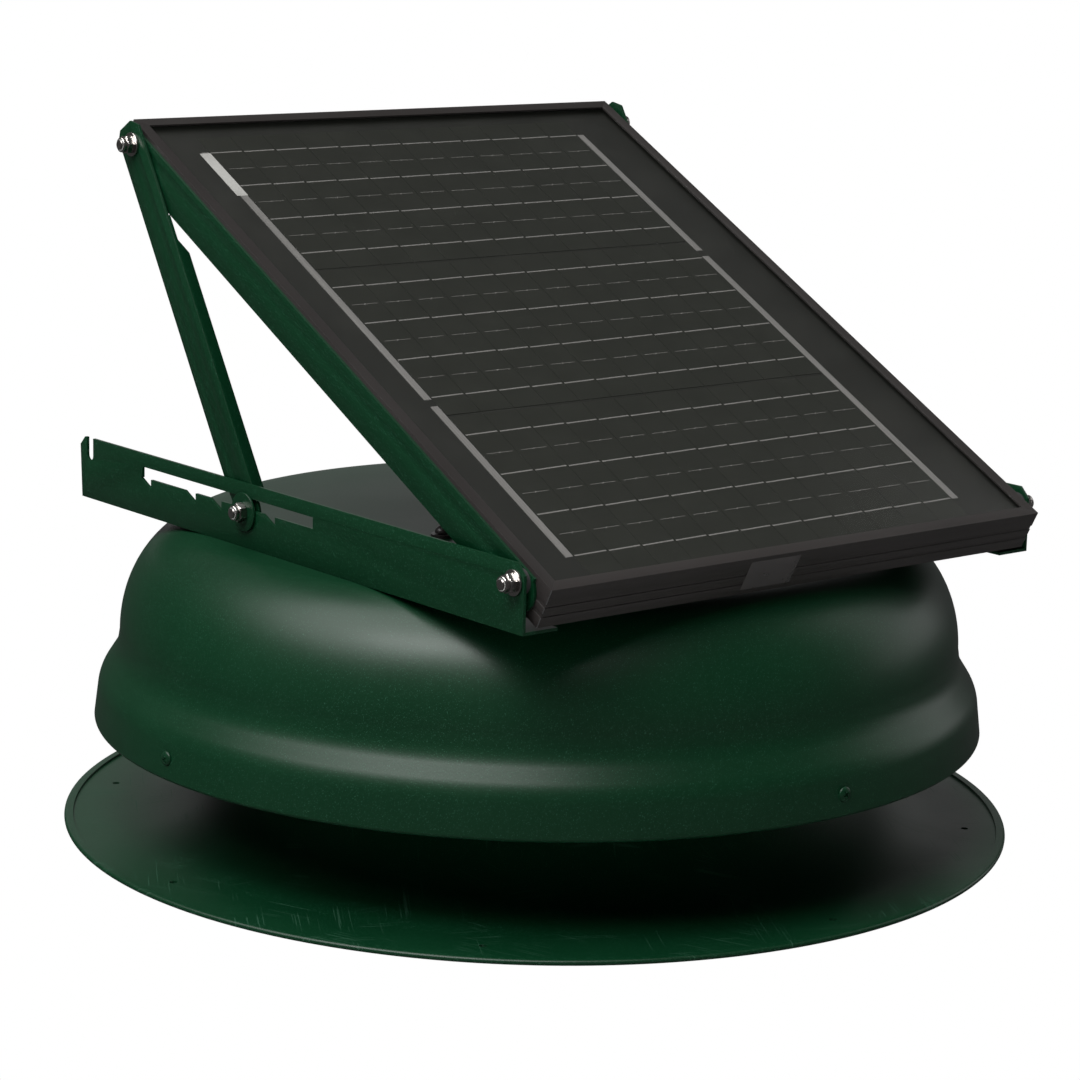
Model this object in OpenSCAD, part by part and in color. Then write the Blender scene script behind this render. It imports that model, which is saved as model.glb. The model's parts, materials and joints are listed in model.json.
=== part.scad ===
// Roof-top solar attic fan: round flashing, spun hood, motor and fan in the throat, and a
// solar panel that tilts on two slotted rails.
// Origin: centre of the flashing's underside. +Z up, the panel's hinge lies along X and its
// high end faces +Y. Millimetres.

/* [Flashing] */
// Outer radius of the flashing flange
flange_r = 321; // [315:1:330]
// Radius of the throat collar, inside
throat_r = 188; // [186:1:190]
// Height of the throat collar's top edge
collar_top = 108; // [106:1:109]
// Radius of the cove between flange and collar, on its upper side
cove_r = 90; // [85:1:90]
// Sheet thickness of the spun parts
sheet = 2; // [1.6:0.2:2]
// Radius of the circle of roof screw holes
screw_circle_r = 294; // [290:1:300]
// Number of roof screw holes
screw_count = 8; // [4:1:12]
// Diameter of a roof screw hole
screw_hole_d = 5; // [4:0.5:6]

/* [Hood] */
// Radius of the hood's lower rim
rim_r = 300.4; // [299:0.2:302]
// Height of the hood's lower rim
rim_z = 69.4; // [68:0.2:72]
// Height of the dome's flat top
dome_z = 201.4; // [201:0.1:202]
// Radius of the flat top
dome_flat_r = 226; // [225:1:228]
// Radius of the circle of bolts on the dome top
dome_bolt_r = 84; // [80:1:90]

/* [Fan] */
// Number of blades
blade_count = 5; // [5:1:5]
// Radius of the blade tips
blade_tip_r = 178; // [170:1:180]
// Pitch of a blade
blade_pitch = 22; // [16:1:24]
// Radius of the motor's housing
motor_r = 46; // [40:1:48]

/* [Solar panel] */
// Width of the panel, along the hinge
panel_w = 410; // [410:1:410]
// Length of the panel, up its slope
panel_l = 506; // [500:1:508]
// Depth of the panel's frame
frame_h = 28; // [27:0.5:28]
// Angle of the panel above level
tilt = 27.6; // [27:0.1:28]
// Cells in one string
cells_per_string = 12; // [6:1:12]

/* [Tilt linkage] */
// Hinge: distance in front of the centre
hinge_y = -235.9; // [-237:0.1:-235]
// Hinge: height
hinge_z = 231.6; // [231:0.1:232]
// Distance from the hinge to the strut's upper pivot
pivot_u = 469.6; // [468:0.1:471]
// Foot of the strut, behind the centre
foot_y = 41.8; // [41:0.1:43]
// Foot of the strut: height
foot_z = 225; // [224:0.1:226]
// Outer face of each rail, from the middle of the part
rail_x = 213; // [212.8:0.1:213.2]
// Height of a rail
rail_h = 42.4; // [42:0.2:43]

/* [Hidden] */
$fn = 48;

paint = [0.09, 0.24, 0.17];
frame_black = [0.12, 0.11, 0.11];
bright = [0.75, 0.74, 0.74];
zinc = [0.6, 0.6, 0.6];
rubber = [0.06, 0.06, 0.06];

// Fasteners: 1/4 inch studs, nuts and washers
stud_r = 3.175;
hole_r = stud_r + 0.08;
nut_flats = 11.1;
nut_hex_h = 5;
nut_collar_h = 3;
nut_h = nut_hex_h + nut_collar_h;
stud_stands_out = 1.2;
washer_r = 7.95;
fender_r = 12.7;
washer_t = 1.6;

// Layers across one side of the linkage, outwards from the panel frame
panel_x = panel_w / 2;
bracket_t = 2;
bracket_x = panel_x + bracket_t;
strut_t = 2;
pivot_spacer_t = 1.3;
strut_x = bracket_x + pivot_spacer_t + 0.1 + strut_t;
rail_t = 2;
rail_in_x = rail_x - rail_t;
hinge_spacer_t = rail_in_x - bracket_x - 0.1;
hardware_gap = 0.1;
foot_gap = 0.3;

// Linkage
pivot_y = hinge_y + pivot_u * cos(tilt);
pivot_z = hinge_z + pivot_u * sin(tilt);
strut_len = norm([pivot_y - foot_y, pivot_z - foot_z]);
strut_angle = atan2(pivot_z - foot_z, pivot_y - foot_y);

// Panel section, measured square to the slope from the hinge's axis
panel_top = 10.5;
panel_front = -22.4;
panel_back = panel_front + panel_l;
lip_t = 1.5;
lip_w = 8;
glass_t = 3.2;
cell_t = 0.4;
backsheet_t = 0.4;
wall_t = 1.8;
flange_w = 22;
frame_bottom = panel_top - frame_h;
glass_top = panel_top - lip_t;
cells_top = glass_top - glass_t;
backsheet_top = cells_top - cell_t;
shelf_top = backsheet_top - backsheet_t;

// ---------------------------------------------------------------- helpers
function arc(cx, cy, r, a0, a1, n) =
    [for (i = [0:n]) let (a = a0 + (a1 - a0) * i / n) [cx + r * cos(a), cy + r * sin(a)]];

function ellipse_arc(cx, cy, rx, ry, a0, a1, n) =
    [for (i = [0:n]) let (a = a0 + (a1 - a0) * i / n) [cx + rx * cos(a), cy + ry * sin(a)]];

// A flat shape drawn in the YZ plane, from x0 to x1
module slab_x(x0, x1) {
    translate([x0, 0, 0])
        rotate([90, 0, 90])
            linear_extrude(x1 - x0)
                children();
}

// A rod along X at (y, z), from x0 to x1
module rod_x(x0, x1, r, y = 0, z = 0) {
    translate([x0, y, z])
        rotate([0, 90, 0])
            cylinder(r = r, h = x1 - x0);
}

module both_sides() {
    children();
    mirror([1, 0, 0])
        children();
}

module at_hinge() {
    translate([0, hinge_y, hinge_z])
        rotate([tilt, 0, 0])
            children();
}

// Strut frame: origin on the upper pivot, -Y runs down the strut, +Z is its front edge
module at_strut() {
    translate([0, pivot_y, pivot_z])
        rotate([strut_angle, 0, 0])
            children();
}

module around(count, first = 0) {
    for (i = [0:count - 1])
        rotate([0, 0, first + i * 360 / count])
            children();
}

module hexagon_x(x0, x1, flats) {
    translate([x0, 0, 0])
        rotate([0, 90, 0])
            cylinder(r = flats / 2 / cos(30), h = x1 - x0, $fn = 6);
}

// Nylon-insert lock nut on a stud along X, seated at x
module lock_nut(x) {
    difference() {
        union() {
            hexagon_x(x, x + nut_hex_h, nut_flats);
            rod_x(x + nut_hex_h, x + nut_h, nut_flats / 2 - 0.6);
        }
        rod_x(x - 1, x + nut_h + 1, stud_r);
    }
}

module washer_x(x, r, t) {
    difference() {
        rod_x(x, x + t, r);
        rod_x(x - 1, x + t + 1, stud_r);
    }
}

// ---------------------------------------------------------------- flashing
hem_w = 6;
hem_h = 3.6;
cove_c = throat_r + sheet + cove_r;

module flashing() {
    color(paint)
        difference() {
            rotate_extrude()
                polygon(concat(
                    [[throat_r, collar_top], [throat_r, sheet + cove_r]],
                    arc(cove_c, sheet + cove_r, cove_r + sheet, 180, 270, 24),
                    [[flange_r, 0], [flange_r, hem_h], [flange_r - hem_w, hem_h],
                        [flange_r - hem_w, sheet]],
                    arc(cove_c, sheet + cove_r, cove_r, 270, 180, 24),
                    [[throat_r + sheet, collar_top]]
                ));
            around(screw_count)
                translate([screw_circle_r, 0, -1])
                    cylinder(d = screw_hole_d, h = sheet + 2);
            leg_rivet_places()
                rod_x(throat_r - 5, throat_r + 8, rivet_r);
        }
}

// ---------------------------------------------------------------- hood
skirt_lean = 6.3;
step_lean = 33;
step_r = 28;
skirt_top = 92;
dome_foot_z = 129;
dome_foot_r = rim_r - 17.1;
rim_hem_h = 6;
rim_hem_t = 1.6;

function skirt_x(z) = rim_r - (z - rim_z) * tan(skirt_lean);

// Half outline of the hood, t inside its outer face
function hood_side(t) = let (
    z1 = skirt_top,
    c1 = [skirt_x(z1) - step_r * cos(skirt_lean), z1 - step_r * sin(skirt_lean)],
    r1 = step_r - t,
    p1 = c1 + step_r * [cos(step_lean), sin(step_lean)],
    drop = 5.2,
    p2 = p1 + [-drop, drop / tan(step_lean)],
    c2 = p2 + step_r * [cos(step_lean), sin(step_lean)],
    r2 = step_r + t
) concat(
    [[skirt_x(rim_z) - t, rim_z]],
    arc(c1[0], c1[1], r1, skirt_lean, step_lean, 6),
    arc(c2[0], c2[1], r2, 180 + step_lean, 180 + 5, 6),
    ellipse_arc(dome_flat_r, dome_foot_z, dome_foot_r - dome_flat_r - t,
        dome_z - dome_foot_z - t, 0, 90, 20)
);

function reversed(v) = [for (i = [len(v) - 1:-1:0]) v[i]];

rim_screw_z = 84;
rim_screw_r = 2.1;

module hood() {
    color(paint)
        difference() {
            union() {
                rotate_extrude()
                    polygon(concat(
                        hood_side(0),
                        [[0, dome_z], [0, dome_z - sheet]],
                        reversed(hood_side(sheet))
                    ));
                rotate_extrude()
                    polygon([
                        [skirt_x(rim_z) - sheet - rim_hem_t, rim_z],
                        [skirt_x(rim_z) - 0.6, rim_z],
                        [skirt_x(rim_z + rim_hem_h) - 0.6, rim_z + rim_hem_h],
                        [skirt_x(rim_z + rim_hem_h) - sheet - rim_hem_t, rim_z + rim_hem_h]
                    ]);
            }
            around(4)
                translate([rim_r - 10, 0, rim_screw_z])
                    rotate([0, 90, 0])
                        cylinder(r = rim_screw_r, h = 20);
            around(4)
                translate([dome_bolt_r, 0, dome_z - 5])
                    cylinder(r = stud_r, h = 10);
            rail_bolt_places()
                translate([0, 0, dome_z - 5])
                    cylinder(r = rail_bolt_r, h = 10);
            translate([gland_x, gland_y, dome_z - 5])
                cylinder(r = gland_neck_r, h = 10);
        }
}

leg_w = 28;
leg_t = 2.5;
leg_z = 92;
leg_tab_z = 78;
leg_x = throat_r + sheet + 0.3;

// Four straps carry the hood's skirt from the throat collar
module hood_legs() {
    color(zinc)
        difference() {
            around(4)
                translate([0, leg_w / 2, 0])
                    rotate([90, 0, 0])
                        linear_extrude(leg_w)
                            polygon([
                                [leg_x, leg_z],
                                [leg_x, collar_top - 2],
                                [leg_x + leg_t, collar_top - 2],
                                [leg_x + leg_t, leg_z + leg_t],
                                [skirt_x(leg_z) - sheet - 0.8, leg_z + leg_t - 1],
                                [skirt_x(leg_tab_z) - sheet - 0.8, leg_tab_z],
                                [skirt_x(leg_tab_z) - sheet - 0.8 - leg_t, leg_tab_z],
                                [skirt_x(leg_z) - sheet - 0.8 - leg_t, leg_z]
                            ]);
            around(4)
                translate([rim_r - 20, 0, rim_screw_z])
                    rotate([0, 90, 0])
                        cylinder(r = rim_screw_r, h = 30);
            leg_rivet_places()
                rod_x(throat_r - 5, throat_r + 15, rivet_r);
        }
}

rivet_r = 2;
rivet_head_r = 3.8;

module leg_rivet_places() {
    around(4)
        for (side = [-1, 1])
            translate([0, side * 8, (collar_top + leg_z + leg_t) / 2])
                children();
}

module leg_rivets() {
    color(zinc)
        leg_rivet_places() {
            rod_x(throat_r - 1.8, leg_x + leg_t, rivet_r);
            rod_x(throat_r - 1.8, throat_r - 0.4, rivet_head_r - 1);
            rod_x(leg_x + leg_t, leg_x + leg_t + 1.2, rivet_head_r);
        }
}

// Pan-head screws through the skirt into the legs
module rim_screws() {
    head_r = 4.8;
    head_t = 2.6;
    face = skirt_x(rim_screw_z);
    seat = face + head_r * tan(skirt_lean) + 0.05;
    color(paint)
        around(4)
            translate([0, 0, rim_screw_z])
                difference() {
                    union() {
                        rod_x(face - 9, seat + 0.1, rim_screw_r - 0.02);
                        rod_x(seat, face + head_t, head_r);
                    }
                    slab_x(face + head_t - 1.4, face + head_t + 1) {
                        square([4.6, 1], center = true);
                        square([1, 4.6], center = true);
                    }
                }
}

screen_r = throat_r + sheet;
screen_wire = 1.6;
screen_wires = 48;
screen_rings = 6;

// Welded wire screen between the collar and the dome
module bird_screen() {
    bottom = collar_top;
    top = dome_z - sheet;
    color(zinc) {
        for (i = [0:screen_rings - 1])
            translate([0, 0, bottom + i * (top - bottom - screen_wire) / (screen_rings - 1)])
                rotate_extrude()
                    translate([screen_r - screen_wire, 0])
                        square(screen_wire);
        around(screen_wires)
            translate([screen_r - screen_wire, -screen_wire / 2, bottom])
                cube([screen_wire, screen_wire, top - bottom]);
    }
}

// ---------------------------------------------------------------- motor
isolator_h = 7;
plate_t = 3;
plate_top = dome_z - sheet - isolator_h;
plate_bottom = plate_top - plate_t;
can_bottom = 128;
cap_t = 6;
boss_t = 6;
shaft_r = 5;
shaft_clearance = 0.05;
shaft_top = plate_bottom - 6;
motor_screw_r = 2.4;
motor_screw_circle = 30;

module motor_plate() {
    color(zinc)
        difference() {
            union() {
                for (turn = [0, 90])
                    rotate([0, 0, turn])
                        translate([-dome_bolt_r - 14, -24, plate_bottom])
                            cube([2 * dome_bolt_r + 28, 48, plate_t]);
            }
            around(4)
                translate([dome_bolt_r, 0, plate_bottom - 1])
                    cylinder(r = stud_r, h = plate_t + 2);
            around(4, 45)
                translate([motor_screw_circle, 0, plate_bottom - 1])
                    cylinder(r = motor_screw_r, h = plate_t + 2);
        }
}

module motor_isolators() {
    color(rubber)
        around(4)
            translate([dome_bolt_r, 0, plate_top])
                difference() {
                    cylinder(r = 10, h = isolator_h);
                    translate([0, 0, -1])
                        cylinder(r = stud_r, h = isolator_h + 2);
                }
}

dome_washer_t = 2;
dome_head_r = 5.4;
dome_head_h = 5;

module dome_bolts() {
    color(rubber)
        around(4)
            translate([dome_bolt_r, 0, 0]) {
                translate([0, 0, plate_bottom - nut_hex_h - stud_stands_out])
                    cylinder(r = stud_r,
                        h = dome_z + dome_washer_t + 1 - plate_bottom + nut_hex_h + stud_stands_out);
                translate([0, 0, dome_z + dome_washer_t])
                    rotate_extrude()
                        polygon(concat([[0, 0]],
                            ellipse_arc(0, 0.8, dome_head_r, dome_head_h, 0, 90, 8),
                            [[0, 0.8]]));
            }
}

module dome_washers() {
    color(rubber)
        around(4)
            translate([dome_bolt_r, 0, dome_z])
                difference() {
                    cylinder(r = washer_r, h = dome_washer_t);
                    translate([0, 0, -1])
                        cylinder(r = stud_r, h = dome_washer_t + 2);
                }
}

module dome_nuts() {
    color(bright)
        around(4)
            translate([dome_bolt_r, 0, plate_bottom - nut_hex_h])
                difference() {
                    cylinder(r = nut_flats / 2 / cos(30), h = nut_hex_h, $fn = 6);
                    translate([0, 0, -1])
                        cylinder(r = stud_r, h = nut_hex_h + 2);
                }
}

module motor_can() {
    color(frame_black)
        difference() {
            translate([0, 0, can_bottom])
                cylinder(r = motor_r, h = plate_bottom - can_bottom);
            translate([0, 0, can_bottom - 1])
                cylinder(r = shaft_r + shaft_clearance, h = shaft_top + 0.3 - can_bottom + 1);
            around(4, 45)
                translate([motor_screw_circle, 0, plate_bottom - 12])
                    cylinder(r = motor_screw_r, h = 13);
        }
}

module motor_end_cap() {
    color(zinc)
        difference() {
            union() {
                translate([0, 0, can_bottom - cap_t])
                    cylinder(r = motor_r, h = cap_t);
                translate([0, 0, can_bottom - cap_t - boss_t])
                    cylinder(r = 14, h = boss_t + 1);
            }
            translate([0, 0, can_bottom - cap_t - boss_t - 1])
                cylinder(r = shaft_r + shaft_clearance, h = cap_t + boss_t + 2);
        }
}

module motor_screws() {
    color(bright)
        around(4, 45)
            translate([motor_screw_circle, 0, 0]) {
                translate([0, 0, plate_bottom - 11])
                    cylinder(r = motor_screw_r, h = plate_t + 11);
                translate([0, 0, plate_top])
                    cylinder(r = 4.4, h = 3);
            }
}

// ---------------------------------------------------------------- rotor
hub_r = 30;
hub_h = 30;
hub_z = 80;
blade_t = 1.8;
blade_camber_r = 190;
blade_z = hub_z + hub_h / 2;

set_screw_r = 2.5;

module set_screw_place() {
    rotate([0, 0, 180 / blade_count])
        translate([0, 0, hub_z + 7])
            children();
}

module rotor_shaft() {
    color(bright)
        translate([0, 0, hub_z - 4])
            cylinder(r = shaft_r, h = shaft_top - hub_z + 4);
}

module fan_hub() {
    color(zinc)
        difference() {
            union() {
                translate([0, 0, hub_z])
                    cylinder(r = hub_r, h = hub_h);
                translate([0, 0, hub_z - 1])
                    cylinder(r = 12, h = hub_h + 2);
            }
            translate([0, 0, hub_z - 2])
                cylinder(r = shaft_r, h = hub_h + 4);
            set_screw_place()
                rod_x(shaft_r - 1, hub_r + 1, set_screw_r);
        }
}

// One cambered blade along +X: a strip of a wide tube, cut to the blade's outline
module fan_blade(i) {
    root_w = 46;
    tip_w = 116;
    root_x = hub_r - 6;
    color(zinc)
        rotate([0, 0, i * 360 / blade_count])
            intersection() {
                translate([0, 0, blade_z])
                    rotate([blade_pitch, 0, 0])
                        intersection() {
                            translate([0, 0, -blade_camber_r])
                                difference() {
                                    rod_x(0, blade_tip_r + 10, blade_camber_r);
                                    rod_x(-1, blade_tip_r + 11, blade_camber_r - blade_t);
                                }
                            translate([0, 0, -30])
                                linear_extrude(60)
                                    polygon([
                                        [root_x, -root_w / 2], [blade_tip_r - 50, -tip_w / 2],
                                        [blade_tip_r - 14, -tip_w / 2 + 6],
                                        [blade_tip_r + 8, -tip_w / 2 + 34],
                                        [blade_tip_r + 8, tip_w / 2 - 12],
                                        [blade_tip_r - 20, tip_w / 2],
                                        [root_x, root_w / 2]
                                    ]);
                        }
                translate([0, 0, hub_z - 40])
                    cylinder(r = blade_tip_r, h = hub_h + 80);
            }
}

module hub_set_screw() {
    color(bright)
        set_screw_place()
            rod_x(shaft_r + 0.5, hub_r - 3, set_screw_r);
}

// ---------------------------------------------------------------- rails
rail_top = dome_z + rail_h;
rail_front = -245;
rail_back = 244.5;
rail_flange_w = 26;
window_front = -34;
window_back = 161;
window_low = 227.2;
window_high = 234.6;
notch_z = 220.8;
notch_slope = 13;
notches = [7.7, 38.4, 69, 99.6, 154.2];
catch_y = 232;
catch_w = 8;
catch_z = 228;
rail_bolt_r = 3;
rail_bolt_x = 199;
rail_bolts_y = [-95, 0, 95];

module rail_bolt_places() {
    for (side = [-1, 1])
        for (y = rail_bolts_y)
            translate([side * rail_bolt_x, y, 0])
                children();
}

module rail_web_outline() {
    nose = 7;
    difference() {
        polygon([
            [rail_front, dome_z], [rail_back - 2, dome_z], [rail_back, rail_top - 6],
            [rail_back - 6, rail_top], [rail_front + nose, rail_top], [rail_front, rail_top - nose]
        ]);
        polygon([
            [window_front, window_low], [window_back + 4, window_low],
            [window_back + 4, window_high], [window_front, window_high]
        ]);
        for (y = notches)
            polygon([
                [y, notch_z], [y + notch_slope, window_low + 0.01], [y, window_low + 0.01]
            ]);
        translate([catch_y, catch_z + catch_w / 2])
            circle(d = catch_w);
        translate([catch_y - catch_w / 2, catch_z + catch_w / 2])
            square([catch_w, 30]);
    }
}

module rail() {
    color(paint)
        difference() {
            union() {
                slab_x(rail_in_x, rail_x)
                    rail_web_outline();
                translate([rail_x - rail_flange_w, rail_front, dome_z])
                    cube([rail_flange_w, rail_back - rail_front - 2, rail_t]);
            }
            rod_x(rail_in_x - 1, rail_x + 1, hole_r, hinge_y, hinge_z);
            for (y = rail_bolts_y)
                translate([rail_bolt_x, y, dome_z - 1])
                    cylinder(r = rail_bolt_r, h = rail_t + 2);
        }
}

module rail_right() {
    rail();
}

module rail_left() {
    mirror([1, 0, 0])
        rail();
}

module rail_bolts() {
    color(bright)
        rail_bolt_places() {
            translate([0, 0, dome_z - sheet - 7])
                cylinder(r = rail_bolt_r, h = rail_t + sheet + 7);
            translate([0, 0, dome_z + rail_t])
                cylinder(r = 5.8, h = 4, $fn = 6);
        }
}

module rail_nuts() {
    color(bright)
        rail_bolt_places()
            translate([0, 0, dome_z - sheet - 5])
                difference() {
                    cylinder(r = 5.8, h = 5, $fn = 6);
                    translate([0, 0, -1])
                        cylinder(r = rail_bolt_r, h = 7);
                }
}

gland_x = 38;
gland_y = 52;
gland_neck_r = 6;

// Cable inlet through the dome, under the panel
module cable_gland() {
    color(rubber)
        translate([gland_x, gland_y, 0])
            difference() {
                union() {
                    translate([0, 0, dome_z - sheet - 8])
                        cylinder(r = gland_neck_r, h = sheet + 9);
                    translate([0, 0, dome_z])
                        cylinder(r = 11, h = 5, $fn = 6);
                    translate([0, 0, dome_z + 5])
                        cylinder(r = 9, h = 9);
                    translate([0, 0, dome_z - sheet - 4])
                        cylinder(r = 10, h = 4, $fn = 6);
                }
                translate([0, 0, dome_z - 20])
                    cylinder(r = 3.2, h = 50);
            }
}

// ---------------------------------------------------------------- solar panel
// Section of the frame extrusion: X runs inwards from the outer face, Y up
module frame_section() {
    groove = 0.5;
    difference() {
        polygon([
            [0, frame_bottom], [0, panel_top], [lip_w, panel_top], [lip_w, glass_top],
            [wall_t, glass_top], [wall_t, shelf_top], [lip_w - 1, shelf_top],
            [lip_w - 1, shelf_top - 1.5], [wall_t, shelf_top - 1.5],
            [wall_t, frame_bottom + wall_t], [flange_w, frame_bottom + wall_t],
            [flange_w, frame_bottom]
        ]);
        for (y = [-3, -10])
            translate([-1, y])
                square([1 + groove, 3]);
    }
}

// One mitred bar along X, its outer face at Y = 0 and its body towards +Y
module frame_bar(length) {
    intersection() {
        translate([-length / 2, 0, 0])
            rotate([90, 0, 90])
                linear_extrude(length)
                    frame_section();
        translate([0, 0, frame_bottom - 1])
            linear_extrude(frame_h + 2)
                polygon([
                    [-length / 2, 0], [length / 2, 0],
                    [length / 2 - flange_w - 1, flange_w + 1],
                    [-length / 2 + flange_w + 1, flange_w + 1]
                ]);
    }
}

module frame_front() {
    color(frame_black)
        at_hinge()
            translate([0, panel_front, 0])
                frame_bar(panel_w);
}

module frame_back() {
    color(frame_black)
        at_hinge()
            translate([0, panel_back, 0])
                rotate([0, 0, 180])
                    frame_bar(panel_w);
}

module frame_left() {
    color(frame_black)
        at_hinge()
            translate([-panel_x, (panel_front + panel_back) / 2, 0])
                rotate([0, 0, -90])
                    frame_bar(panel_l);
}

module frame_right() {
    color(frame_black)
        at_hinge()
            translate([panel_x, (panel_front + panel_back) / 2, 0])
                rotate([0, 0, 90])
                    frame_bar(panel_l);
}

key_arm = 17;
key_h = 12;
key_t = 2.5;

module corner_keys() {
    middle = (panel_front + panel_back) / 2;
    color(zinc)
        at_hinge()
            for (sx = [-1, 1])
                for (sy = [-1, 1])
                    translate([sx * (panel_x - wall_t), middle + sy * (panel_l / 2 - wall_t),
                        frame_bottom + wall_t])
                        rotate([0, 0, sx * sy > 0 ? (sx > 0 ? 180 : 0) : (sx > 0 ? 90 : 270)])
                            linear_extrude(key_h) {
                                square([key_arm, key_t]);
                                square([key_t, key_arm]);
                            }
}

laminate_w = panel_w - 2 * wall_t - 0.8;
laminate_l = panel_l - 2 * wall_t - 0.8;
panel_mid = (panel_front + panel_back) / 2;

module layer(top, thickness) {
    at_hinge()
        translate([-laminate_w / 2, panel_mid - laminate_l / 2, top - thickness])
            cube([laminate_w, laminate_l, thickness]);
}

module glass() {
    color([0.15, 0.16, 0.14, 0.5])
        layer(glass_top, glass_t);
}

module backsheet() {
    color("black")
        layer(backsheet_top, backsheet_t);
}

cell_w = 26.1;
cell_l = 156.75;
cell_pitch = 26.53;
string_pitch = 159;
strings = 3;
array_x = -5.3;
array_u = panel_mid - 2.9;

// Three strings of narrow cells; each string runs across the panel
module solar_cells() {
    color([0.03, 0.03, 0.04])
        at_hinge()
            for (row = [0:strings - 1])
                for (i = [0:cells_per_string - 1])
                    translate([
                        array_x + (i - (cells_per_string - 1) / 2) * cell_pitch - cell_w / 2,
                        array_u + (row - (strings - 1) / 2) * string_pitch - cell_l / 2,
                        backsheet_top
                    ])
                        cube([cell_w, cell_l, cell_t]);
}

ribbon_w = 5.4;
ribbon_end = 1.5 * string_pitch - 19;
ribbon_break = string_pitch / 2 - 14.2;
ribbon_gap = 7;

// Wide ribbons that join neighbouring strings; the break is low on the left and high on the right
module bus_ribbons() {
    edge = cell_pitch * cells_per_string / 2 + 0.6;
    color([0.5, 0.5, 0.5])
        at_hinge()
            translate([array_x, array_u, backsheet_top])
                for (turn = [0, 180])
                    rotate([0, 0, turn])
                        for (span = [
                            [-ribbon_end, ribbon_break - ribbon_gap / 2],
                            [ribbon_break + ribbon_gap / 2, ribbon_end]
                        ])
                            translate([edge, span[0], 0])
                                cube([ribbon_w, span[1] - span[0], cell_t]);
}

box_w = 96;
box_l = 74;
box_h = 18;
box_u = 410;
box_lid_t = 2.5;
box_top = backsheet_top - backsheet_t;

module junction_box() {
    wall = 2.5;
    color(rubber)
        at_hinge()
            translate([-box_w / 2, box_u - box_l / 2, box_top - box_h])
                difference() {
                    cube([box_w, box_l, box_h]);
                    translate([wall, wall, -1])
                        cube([box_w - 2 * wall, box_l - 2 * wall, box_h - 1.5]);
                    translate([box_w / 2, -1, box_h / 2])
                        rotate([-90, 0, 0])
                            cylinder(r = 5, h = wall + 2);
                }
}

module junction_box_lid() {
    color(rubber)
        at_hinge()
            translate([-box_w / 2, box_u - box_l / 2, box_top - box_h - box_lid_t])
                cube([box_w, box_l, box_lid_t]);
}

module box_gland() {
    color(rubber)
        at_hinge()
            translate([0, box_u - box_l / 2, box_top - box_h / 2])
                rotate([90, 0, 0])
                    difference() {
                        union() {
                            translate([0, 0, -2.4])
                                cylinder(r = 5, h = 3);
                            cylinder(r = 7.5, h = 4, $fn = 6);
                            translate([0, 0, 4])
                                cylinder(r = 6.4, h = 7);
                        }
                        translate([0, 0, -5])
                            cylinder(r = 2.8, h = 20);
                    }
}

// ---------------------------------------------------------------- side brackets
bracket_up = 8;
bracket_low = frame_bottom - bracket_t;
bracket_nose = (bracket_up - bracket_low) / 2;
bracket_end = panel_back - 4;
bracket_leg_w = 20;
stud_head_r = 4.6;
stud_head_t = 1;
bracket_screws_u = [60, 230, 400];

module side_bracket() {
    middle = (bracket_up + bracket_low) / 2;
    color(paint)
        at_hinge()
            difference() {
                union() {
                    slab_x(panel_x, bracket_x)
                        intersection() {
                            union() {
                                for (u = [0, bracket_end - bracket_nose])
                                    translate([u, middle])
                                        circle(r = bracket_nose);
                                translate([0, bracket_low])
                                    square([bracket_end - bracket_nose, bracket_up - bracket_low]);
                                translate([-8, middle])
                                    square([20, bracket_up - middle]);
                            }
                            translate([-8 - 20, bracket_low])
                                square([600, bracket_up - bracket_low]);
                        }
                    translate([bracket_x - bracket_leg_w, 24, bracket_low])
                        cube([bracket_leg_w, bracket_end - bracket_nose - 24, bracket_t]);
                }
                for (u = [0, pivot_u]) {
                    rod_x(panel_x - 1, bracket_x + 1, stud_r, u, 0);
                    rod_x(panel_x - 1, panel_x + stud_head_t, stud_head_r, u, 0);
                }
                for (u = bracket_screws_u)
                    translate([panel_x - 11, u, bracket_low - 1])
                        cylinder(r = 2.1, h = bracket_t + 2);
            }
}

module side_bracket_right() {
    side_bracket();
}

module side_bracket_left() {
    mirror([1, 0, 0])
        side_bracket();
}

// Pan-head screws up through the bracket's leg, seated under it
module bracket_screws() {
    color(bright)
        both_sides()
            at_hinge()
                for (u = bracket_screws_u)
                    translate([panel_x - 11, u, 0]) {
                        translate([0, 0, bracket_low - 0.5])
                            cylinder(r = 2.1, h = bracket_t + 0.5);
                        translate([0, 0, bracket_low - 2.5])
                            cylinder(r = 4, h = 2.5);
                    }
}

module stud(x0, x1, u) {
    rod_x(x0, x1, stud_r, u, 0);
    rod_x(x0, x0 + stud_head_t, stud_head_r, u, 0);
}

hinge_seat = rail_x + hardware_gap;
pivot_seat = strut_x + hardware_gap;

// Clinched studs with flush heads: hinge and upper pivot, both sides
module bracket_studs() {
    color(bright)
        both_sides()
            at_hinge() {
                stud(panel_x, hinge_seat + washer_t + nut_h + stud_stands_out, 0);
                stud(panel_x, pivot_seat + washer_t + nut_h + stud_stands_out, pivot_u);
            }
}

module hinge_spacers() {
    color(rubber)
        both_sides()
            at_hinge()
                washer_x(bracket_x, 8, hinge_spacer_t);
}

module pivot_spacers() {
    color(rubber)
        both_sides()
            at_hinge()
                translate([0, pivot_u, 0])
                    washer_x(bracket_x, 8, pivot_spacer_t);
}

module bracket_washers() {
    color(bright)
        both_sides()
            at_hinge() {
                washer_x(hinge_seat, washer_r, washer_t);
                translate([0, pivot_u, 0])
                    washer_x(pivot_seat, washer_r, washer_t);
            }
}

module bracket_nuts() {
    color(bright)
        both_sides()
            at_hinge() {
                lock_nut(hinge_seat + washer_t);
                translate([0, pivot_u, 0])
                    lock_nut(pivot_seat + washer_t);
            }
}

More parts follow.
